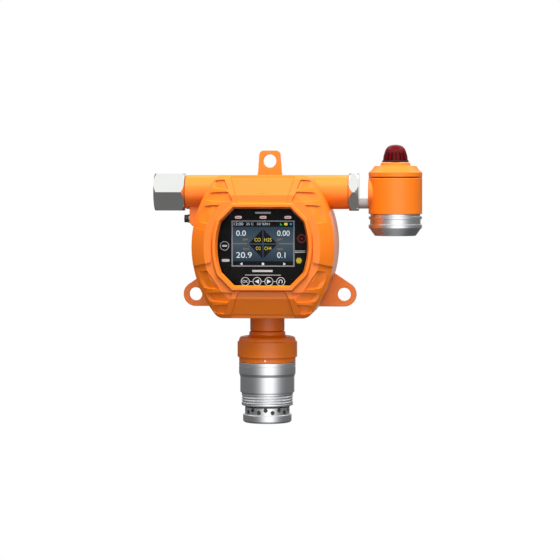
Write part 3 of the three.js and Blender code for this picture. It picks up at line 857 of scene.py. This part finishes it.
keys = [hoop(3.75, 4.25, x, KEY_Z) for x in key_x]
keys += [panel_mark(rectangle(x + 4.5, x + 7.1, KEY_Z - 0.25, KEY_Z + 0.25)) for x in key_x[:3]]
keys += [
    words("OK", -20.1, -14.8, KEY_Z - 1.4, KEY_Z + 1.4, PANEL_DEPTH),
    panel_mark([(-3.9, KEY_Z - 2.2), (-8.2, KEY_Z), (-3.9, KEY_Z + 2.2)]),
    panel_mark([(3.9, KEY_Z + 2.2), (8.2, KEY_Z), (3.9, KEY_Z - 2.2)]),
    panel_mark(bow(0, 2.0, -60, 200, 12, 0) + bow(0, 1.3, 200, -60, 12, 0), 17.4, KEY_Z),
    panel_mark([(-1.0, 0), (1.0, 0), (0, -1.6)], 15.6, KEY_Z - 0.4),
]
show(gathered(*keys), "panel_keys", white_ink, slot="black_panel")
side_marks = [
    hoop(4.0, 4.5, -37.7, 0.9),
    panel_mark(oblong(2.6, 0.9), -37.7, 0.9),
    panel_mark(oblong(3.9, 1.3), -36.7, -13.3),
    panel_mark(oblong(5.2, 0.35), 36.3, -3.9),
    panel_mark(oblong(5.2, 0.35), 36.3, -5.3),
    panel_mark(rectangle(-7.6, 7.6, 32.4, 34.2)),
    panel_mark(rectangle(-10.5, 9.5, -24.6, -22.6)),
    panel_mark(rectangle(-17.5, 17.5, -27.9, -27.3)),
]
show(gathered(*side_marks), "panel_marks", grey_ink, slot="black_panel")
show(
    gathered(hoop(3.2, 4.2, 38.0, 8.2), panel_mark(oblong(1.2, 0.6), 38.0, 8.2)), "panel_stop_mark",
    red_ink, slot="black_panel",
)
hexagon = bow(0, 3.1, 0, 300, 5)
show(panel_mark(hexagon, 35.3, -13.3), "panel_hexagon", yellow_ink, slot="black_panel")

# The status windows glow with painted light: the pale glowing rim and the red glowing core stand in for
# the light that falls on them.
status_core_painted_glow = glowing("status_core_painted_glow", (0.75, 0.10, 0.13))
status_rim_painted_glow = glowing("status_rim_painted_glow", (0.62, 0.52, 0.52))
status_names = ("indicator_power", "indicator_fault", "indicator_alarm")
for x, node in zip(status_x, status_names):
    fit_piece(
        slab(moved(oblong(3.2, 1.2), x, STATUS_Z), 79.9, 91.3), f"{node}_light", status_rim_painted_glow,
        "housing", "red_indicator", node,
    )
cores = [slab(moved(oblong(2.5, 0.62), x, STATUS_Z), 91.2, 91.36) for x in status_x]
show(gathered(*cores), "indicator_cores", status_core_painted_glow, slot="red_indicator")

# ------------------------------------------------------------------ cable gland
# The left entry has a hexagonal compression nut in polished nickel, with turned corners and a
# flared mouth. Inside it a washer presses a rubber bush round the cable.


def nickel_feed(finish):
    return {"Roughness": cloud(finish, 60, 3) * 0.08 + 0.13}


nickel = new_look(
    "polished_nickel", {"Base Color": (0.78, 0.79, 0.77, 1), "Metallic": 1.0}, nickel_feed
)


def hex_bar(flats, start, end, centre, turn=30):
    """A hexagonal bar along X; a turn of 30 degrees puts flats above and below."""
    bm = rod(flats / math.sqrt(3), start, end, "X", (0, 0, 0), 6)
    bmesh.ops.rotate(
        bm, cent=(0, 0, 0), matrix=Matrix.Rotation(math.radians(turn), 3, "X"), verts=bm.verts
    )
    bmesh.ops.translate(bm, vec=centre, verts=bm.verts)
    return bm


def turned_hex(flats, start, end, near, far, centre, edge):
    """A hexagonal nut whose corners are turned away at both ends."""
    low, high = flats / 2 + 0.1, flats / math.sqrt(3) + 0.2
    drum = [(0, start), (low, start), (high, start + near), (high, end - far), (low, end), (0, end)]
    blank = carved(hex_bar(flats, start, end, centre), kept=[spun(drum, "X", centre)])
    bmesh.ops.remove_doubles(blank, verts=blank.verts, dist=1e-5)
    return soften(blank, edge, 30, 1)


spigot = [(0, -83), (12.9, -83), (12.9, -71), (12.2, -70), (0, -70)]
mouth = [(0, -113.4), (12.1, -113.4), (12.1, -112.4), (9.6, -109.9), (9.6, -69), (0, -69)]
gland = carved(
    turned_hex(36.9, -112.4, -81.9, 2.8, 3.2, entry_axis, 0.2),
    [spun(spigot, "X", entry_axis, threads=[(-81.5, -71.2, 1.8, 0.8)])],
    [spun(mouth, "X", entry_axis)],
)
fit_piece(gland, "compression_nut", nickel, "gland", "polished_steel", "gland_nut")


def turning_feed(finish):
    """Fine turning marks: narrow bands along the axis, with slight waviness."""
    bands = cloud(finish, 180, 2, (0.02, 0.02, 8))
    return {"Roughness": bands * 0.12 + 0.27}


aluminium = new_look(
    "turned_aluminium", {"Base Color": (0.80, 0.81, 0.83, 1), "Metallic": 1.0}, turning_feed
)
fit_piece(
    soften(tube(8, 12.8, -69.7, -68.2, "X", entry_axis), 0.2, 40), "press_washer", aluminium,
    "gland_ring", "turned_aluminium", "gland_washer",
)
fit_piece(
    soften(tube(6.8, 12.8, -67.9, -58.3, "X", entry_axis), 0.6, 40), "cable_bush", rubber,
    "housing", "black_rubber", "gland_bush",
)

# ------------------------------------------------------------------ earth terminal
# An outside earth stud on the left: a dark hexagon screw with a plain and a spring washer, run
# into a boss of the casting.
earth_axis = (0, AXIS_Y, 26.6 * mm)
screw_shank = [(0, -80.5), (2, -80.5), (2, -66.7), (1.5, -66.3), (0, -66.3)]
screw = carved(
    soften(hex_bar(7.6, -83.1, -79.8, earth_axis), 0.25, 40),
    [spun(screw_shank, "X", earth_axis, 32, threads=[(-79.6, -67, 0.7, 0.3)])],
)
fit_piece(screw, "earth_stud", dark_steel, "housing", "dark_screw", "earth_screw")
fit_piece(
    soften(tube(2.3, 4.6, -78.4, -77.6, "X", earth_axis, 48), 0.15, 40), "plain_washer", nickel,
    "housing", "polished_steel", "earth_washer",
)
spring_slit = slab(rectangle(-80, -78, 29, 33), 37.6, 38.4)
fit_piece(
    carved(tube(2.3, 4.2, -79.5, -78.7, "X", earth_axis, 48), cut=[spring_slit]), "spring_washer",
    dark_steel, "housing", "dark_screw", "earth_spring_washer",
)

# ------------------------------------------------------------------ pipe adaptor and beacon pipe
# The right entry takes a hexagonal adaptor in polished nickel. A zinc-coated pipe runs from a
# hole low in its face to the beacon, and carries it.
PIPE_HOLE = 5.35
pipe_axis = (0, AXIS_Y, 41.8 * mm)
adaptor_spigot = [(0, 63), (12.2, 63), (12.9, 64), (12.9, 83), (0, 83)]
adaptor = carved(
    turned_hex(37.1, 81.9, 91.9, 4.4, 4.4, entry_axis, 0.12),
    [spun(adaptor_spigot, "X", entry_axis)],
    [rod(9.5, 62, 88, "X", entry_axis), rod(PIPE_HOLE, 83.4, 93, "X", pipe_axis)],
)
fit_piece(adaptor, "pipe_adaptor", nickel, "housing", "polished_steel", "conduit_adaptor")


def zinc_feed(finish):
    spangle = cloud(finish, 160, 3)
    return {
        "Base Color": blended(finish, spangle, (0.36, 0.36, 0.365, 1), (0.48, 0.48, 0.48, 1)),
        "Roughness": spangle * 0.15 + 0.45,
    }


zinc = new_look("dull_zinc", {"Metallic": 0.35}, zinc_feed)
fit_piece(
    soften(tube(3.2, 5.05, 86.5, 104.4, "X", pipe_axis, 48), 0.3, 40), "support_pipe", zinc,
    "beacon", "galvanised_pipe", "beacon_pipe",
)

# ------------------------------------------------------------------ beacon body and cap
# The sound and light unit: an orange drum with a round port boss, and a screwed orange cap above
# a thin black gasket.
BEACON_X = 127.8
beacon_axis = (BEACON_X * mm, AXIS_Y, 0)
port_axis = (0, AXIS_Y, 52.3 * mm)
drum_profile = [(0, 31.4), (26.2, 31.4), (26.7, 31.9), (26.7, 66.8), (26.2, 67.3), (0, 67.3)]
drum_inside = [
    (0, 30), (23.2, 30), (23.2, 57.5), (17, 57.5), (17, 60), (23.2, 60), (23.2, 69), (0, 69),
]
port_profile = [(0, 101.1), (14.9, 101.1), (15.7, 101.9), (15.7, 110), (0, 110)]
band = slab(rectangle(100, BEACON_X, 31.4, 67.3), 5, 75)
drum = carved(
    spun(drum_profile, "Z", beacon_axis),
    [carved(spun(port_profile, "X", port_axis), kept=[band])],
    [spun(drum_inside, "Z", beacon_axis), rod(PIPE_HOLE, 100, 108, "X", pipe_axis)],
)
fit_piece(drum, "beacon_drum", powder, "beacon", "orange_powder", "beacon_housing")
fit_piece(
    soften(tube(23.3, 26.4, 67.4, 68.2, "Z", beacon_axis), 0.2, 40), "cap_gasket", rubber,
    "beacon_seal", "black_rubber", "beacon_gasket",
)
cap_profile = [
    (20.5, 62.5), (22.9, 62.5), (22.9, 68.3), (26.3, 68.3), (26.7, 68.7), (26.7, 72.6), (26.4, 73),
    (23.7, 75), (20.9, 79), (20.4, 79.3), (15.5, 79.3), (15.1, 79.6), (14.3, 82.3), (13.9, 82.6),
    (9, 82.6), (9, 77.5), (17, 76.5), (20.5, 72),
]
fit_piece(
    spun(cap_profile, "Z", beacon_axis, threads=[(62.8, 68.1, 1.5, 0.6)]), "beacon_top_cap", powder,
    "beacon_top", "orange_powder", "beacon_cap",
)

# ------------------------------------------------------------------ beacon lens and lamp
# A dome of red polycarbonate, ribbed inside and striped outside, stands on a black gasket over the
# lamp column.
LENS_STRIPES = 18
LENS_RIBS = 16
HIGHLIGHT_CROWN_START = 92.5 * mm


def lens_feed(finish):
    """Darker and lighter stripes run up to a crown painted lighter and mottled, a painted highlight."""
    place = finish.node("ShaderNodeTexCoord", output="Object")
    x = finish.node("ShaderNodeSeparateXYZ", values={0: place}, output="X") - BEACON_X * mm
    y = finish.node("ShaderNodeSeparateXYZ", values={0: place}, output="Y") - AXIS_Y
    z = finish.node("ShaderNodeSeparateXYZ", values={0: place}, output="Z")
    stripes = (y.maths("ARCTAN2", x) * LENS_STRIPES).maths("SINE") * 0.5 + 0.5
    # Painted highlight: above the crown line the dome is lighter and mottled, standing in for the lamp's
    # reflection on its top.
    highlight_mottle = cloud(finish, 520, 1)
    highlight_crown = z > HIGHLIGHT_CROWN_START
    low = blended(finish, stripes, (0.02, 0.0, 0.001, 1), (0.12, 0.001, 0.002, 1))
    high = blended(finish, highlight_mottle, (0.03, 0.0, 0.002, 1), (0.2, 0.006, 0.010, 1))
    return {"Base Color": blended(finish, highlight_crown, low, high)}


red_plastic = new_look(
    "red_lens",
    {
        "Roughness": 0.14,
        "IOR": 1.58,
        "Alpha": 0.98,
        "Specular IOR Level": 0.1,
    },
    lens_feed,
)
red_plastic.surface_render_method = "BLENDED"
lens_outside = [(12.4, 84.65), (11.9, 89)] + [
    (10.4, 94), (9.5, 96), (8.4, 97.4), (6.9, 98.8), (5.0, 99.6), (2.6, 100.15), (0, 100.3),
]
lens_inside = [(0, 98.3), (4, 97.6), (6.4, 95.8), (7.8, 93), (9.2, 88), (9.6, 84.65)]
lens = spun(lens_inside + lens_outside)
for v in lens.verts:
    radius, turn = math.hypot(v.co.x, v.co.y), math.atan2(v.co.y, v.co.x)
    if 7.9 * mm < radius < 9.7 * mm and v.co.z < 94.5 * mm:
        scale = 1 - 0.05 * max(0, math.cos(LENS_RIBS * turn))
        v.co.x *= scale
        v.co.y *= scale
bmesh.ops.translate(lens, vec=beacon_axis, verts=lens.verts)
fit_piece(lens, "beacon_dome", red_plastic, "beacon_top", "red_lens", "beacon_lens", smooth=50)
fit_piece(
    soften(tube(9.2, 13.2, 82.9, 84.6, "Z", beacon_axis), 0.3, 40), "dome_gasket", rubber,
    "beacon_top", "black_rubber", "lens_gasket",
)

# ------------------------------------------------------------------ beacon base
# A turned aluminium base with two raised bands and a chamfered foot closes the drum. Its floor has
# the sounder's holes.
base_profile = [
    (0, 9.8), (20.2, 9.8), (20.8, 10.2), (25.5, 16.8), (26.3, 17.3), (26.6, 17.8), (26.6, 20.7),
    (26.3, 21), (25.2, 21.4), (25.2, 26.1), (26.3, 26.4), (26.6, 26.7), (26.6, 28.7), (26.3, 29),
    (24.8, 29.3), (24.8, 31.1), (22.9, 31.1), (22.9, 37), (20.5, 37), (20.5, 18), (17.5, 13),
    (0, 13),
]
sound_holes = [
    rod(1.8, 8, 15, "Z", (
        (BEACON_X + radius * math.cos(i * math.tau / count)) * mm,
        AXIS_Y + radius * math.sin(i * math.tau / count) * mm,
        0,
    ), 24)
    for count, radius in ((5, 6), (10, 12))
    for i in range(count)
]
base = carved(
    spun(base_profile, "Z", beacon_axis, threads=[(31.4, 36.8, 1.5, 0.6)]), cut=sound_holes
)
fit_piece(base, "beacon_foot", aluminium, "beacon", "turned_aluminium", "beacon_base")

# ------------------------------------------------------------------ sensor adaptor
# An orange cast adaptor with a raised shoulder screws on to the neck. A small bright grub screw in
# its lower band locks the sensor head.
adaptor_profile = [
    (8, -70), (8, -98), (25.5, -99.5), (25.5, -116.4), (28, -116.4), (28.3, -116.1),
    (28.3, -111.9), (28.6, -111.5), (29.6, -111.4), (29.9, -111.1), (29.9, -96.4), (29.6, -96),
    (28.9, -95.6), (28.5, -95.1), (28.1, -93.4), (27.5, -92), (26.4, -91.2), (25, -90.9),
    (22.8, -91), (21.7, -91.6), (21.0, -91.6), (20.2, -91.1), (18.4, -89.6), (18.1, -89),
    (18.1, -87.1), (17.9, -86.6), (17.3, -85.8), (17, -85.6), (12.3, -85.6), (12.3, -70),
]
collar_body = carved(
    spun(adaptor_profile, "Z", sensor_axis), cut=[rod(1.6, 24, 30, "depth", (0, 0, -114 * mm), 24)]
)
fit_piece(
    collar_body, "sensor_collar", powder, "housing", "orange_powder", "sensor_adaptor", smooth=40
)
bright_steel = new_look(
    "bright_screw", {"Base Color": (0.85, 0.86, 0.88, 1), "Metallic": 0.6, "Roughness": 0.25}
)
grub = socket_screw(1.3, -28.9, -26.3, (0, 0, 0), socket=0.45)
bmesh.ops.rotate(grub, cent=(0, 0, 0), matrix=Matrix.Rotation(-math.pi / 2, 3, "X"), verts=grub.verts)
grub_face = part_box("adaptor_set_screw")[0][1]
reach = grub_face - min(v.co.y for v in grub.verts)
bmesh.ops.translate(grub, vec=(0, reach, -114 * mm), verts=grub.verts)
fit_piece(grub, "collar_grub_screw", bright_steel, "housing", "white_plastic", "adaptor_set_screw")

# ------------------------------------------------------------------ sensor head
# The sensor's shell is turned from aluminium: two wide bands, a coarse outside thread and an inner
# screw fit. A rubber ring seals it in the adaptor.
shell_profile = [
    (21, -101), (25.2, -101), (25.2, -116.7), (28.1, -116.7), (28.4, -117), (28.4, -119.7),
    (28.15, -119.9), (28.15, -120.5), (28.4, -120.7), (28.4, -127.8), (28.2, -128.3), (27.4, -130.4),
    (27.2, -131), (27.2, -146.3), (26.8, -146.8), (25.9, -147.4), (25.9, -159.2), (24.9, -160.1),
    (22.9, -160.4), (20, -160.4), (20, -150), (21, -149),
]
shell_threads = [(-158.9, -147.7, 2.65, 1.0), (-116.2, -101.5, 1.5, 0.6)]
fit_piece(
    spun(shell_profile, "Z", sensor_axis, 128, shell_threads), "sensor_body", aluminium,
    "sensor_head", "turned_aluminium", "sensor_shell", smooth=50,
)
fit_piece(
    cord_ring(22.2, 24.4, -100.7, -99.9, "Z", sensor_axis), "head_seal", rubber, "sensor_seal",
    "black_rubber", "sensor_o_ring", smooth=60,
)

# ------------------------------------------------------------------ filter cap
# A turned aluminium cap with two staggered rows of gas holes round its waist screws up into the
# head. A sintered sleeve shows behind the holes.
cap_turned = [
    (0, -177.8), (14.3, -177.8), (14.9, -177.5), (15.4, -177), (22.6, -177), (23.4, -176.6),
    (24.2, -175.6), (24.4, -175), (24.4, -169.3), (24.1, -168.9), (22.4, -168.9), (22.4, -161.9),
    (22.1, -161.6), (19.7, -161.6), (19.7, -152.5), (18, -152.5), (18, -172.5), (0, -172.5),
]


HOLES_IN_ROW = 10
gas_rows = ((-163.8, 0), (-166.2, 18))


def round_hole(place, first, index):
    bm = rod(2.15, 15, 23, "depth", steps=24)
    turn = Matrix.Rotation(math.radians(first + index * 360 / HOLES_IN_ROW), 3, "Z")
    bmesh.ops.rotate(bm, cent=(0, 0, 0), matrix=turn, verts=bm.verts)
    bmesh.ops.translate(bm, vec=(0, AXIS_Y, place * mm), verts=bm.verts)
    return bm


gas_holes = [round_hole(z, first, i) for z, first in gas_rows for i in range(HOLES_IN_ROW)]
filter_body = carved(
    spun(cap_turned, "Z", sensor_axis, 128, threads=[(-161.2, -152.8, 1.4, 0.5)]), cut=gas_holes
)
fit_piece(filter_body, "gas_cap", aluminium, "filter", "turned_aluminium", "filter_cap", smooth=35)


def sinter_feed(finish):
    grain = cloud(finish, 1500, 1)
    return {
        "Base Color": blended(finish, grain, (0.05, 0.05, 0.05, 1), (0.30, 0.29, 0.28, 1)),
        "Normal": bumped(finish, grain, 0.6, 0.0004),
    }


sinter = new_look("sintered_metal", {"Metallic": 0.7, "Roughness": 0.6}, sinter_feed)
fit_piece(
    tube(15.8, 17.6, -172.2, -156, "Z", sensor_axis), "gas_sleeve", sinter, "filter",
    "sintered_metal", "filter_sleeve",
)
fit_piece(
    soften(tube(20.2, 22.2, -161.3, -160.7, "Z", sensor_axis), 0.15, 40), "gas_gasket", rubber,
    "filter_seal", "black_rubber", "filter_gasket",
)

# ------------------------------------------------------------------ inside pieces
# Boards, relays, terminals, cells and the harness sit out of sight and keep their plain shapes.
# They are laminate, moulded plastic, turned metal and rubber.


def flat_look(name, colour, roughness=0.5):
    def feed(finish):
        return {"Roughness": cloud(finish, 250) * 0.12 + (roughness - 0.06)}

    return new_look(name, {"Base Color": (*colour, 1)}, feed)


laminate = flat_look("green_laminate", (0.012, 0.10, 0.035), 0.45)
green_plastic = flat_look("terminal_green", (0.025, 0.26, 0.07))
relay_plastic = flat_look("relay_blue_black", (0.024, 0.035, 0.055), 0.45)
pale_plastic = flat_look("pale_plastic", (0.72, 0.71, 0.66))
cell_plastic = flat_look("cell_case", (0.04, 0.05, 0.06))
inside = {
    laminate: ("display_board", "terminal_board", "led_board", "sensor_board"),
    green_plastic: ("power_terminal", "relay_terminal"),
    relay_plastic: ("relay_1", "relay_2", "relay_3", "power_module"),
    pale_plastic: ("board_ribbon", "led_column", "sensor_plug", "harness_socket"),
    cell_plastic: ("gas_cell_1", "gas_cell_2", "gas_cell_3", "gas_cell_4"),
    aluminium: ("board_post_1", "board_post_2", "board_post_3", "board_post_4"),
    sinter: ("flame_arrestor",),
    satin_black: ("sounder",),
    rubber: ("sensor_harness",),
}
for look, nodes in inside.items():
    for node in nodes:
        for own_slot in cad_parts[node].material_slots:
            own_slot.material = look
